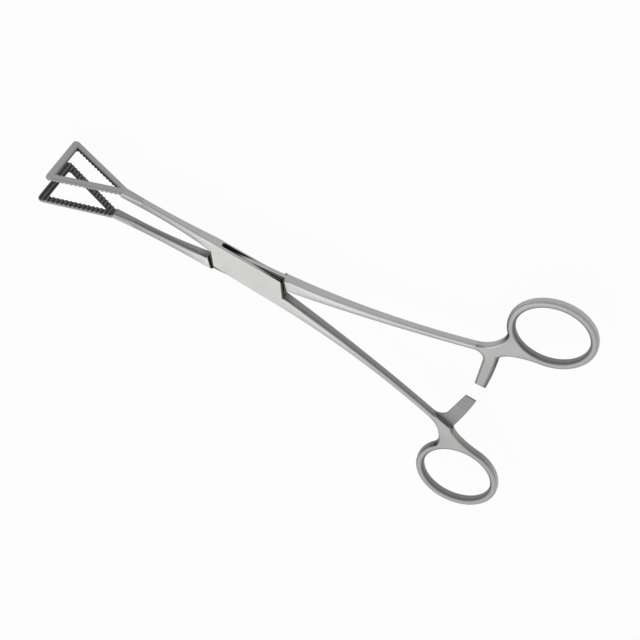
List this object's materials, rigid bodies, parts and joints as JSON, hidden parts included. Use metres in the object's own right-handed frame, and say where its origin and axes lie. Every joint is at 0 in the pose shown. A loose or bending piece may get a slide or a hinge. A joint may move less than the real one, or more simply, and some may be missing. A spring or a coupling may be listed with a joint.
{
  "type": "gallbladder forceps",
  "caption": "Ring-handled box-lock forceps with a ratchet and open triangular jaws with cross serrations, half open.",
  "frame": {"origin": "where the pivot pin's axis meets the outer face of the lower cheek of the box lock", "axes": "+X along the closed jaw line to the jaw tips, +Y towards the box half's finger ring, +Z along the pivot's axis, out of the upper cheek"},
  "size_m": [0.2023, 0.1088, 0.0264],
  "materials": {
    "satin_steel": "satin",
    "pin_steel": "satin, ground flush"
  },
  "bodies": {
    "box_half": {"box_half_jaw": "satin_steel", "box_half_shank": "satin_steel", "box_half_box": "satin_steel", "box_half_arm": "satin_steel", "box_half_ratchet": "satin_steel", "box_half_ring": "satin_steel", "pivot_pin": "pin_steel"},
    "male_half": {"male_half_jaw": "satin_steel", "male_half_shank": "satin_steel", "male_half_tongue": "satin_steel", "male_half_arm": "satin_steel", "male_half_ratchet": "satin_steel", "male_half_ring": "satin_steel"}
  },
  "joints": [
    {"name": "box_lock_pivot", "type": "hinge", "parent": "box_half", "child": "male_half", "pos_m": [0, 0, 0.0023], "axis": [0, 0, 1], "range_deg": [-6.6, 30]}
  ]
}
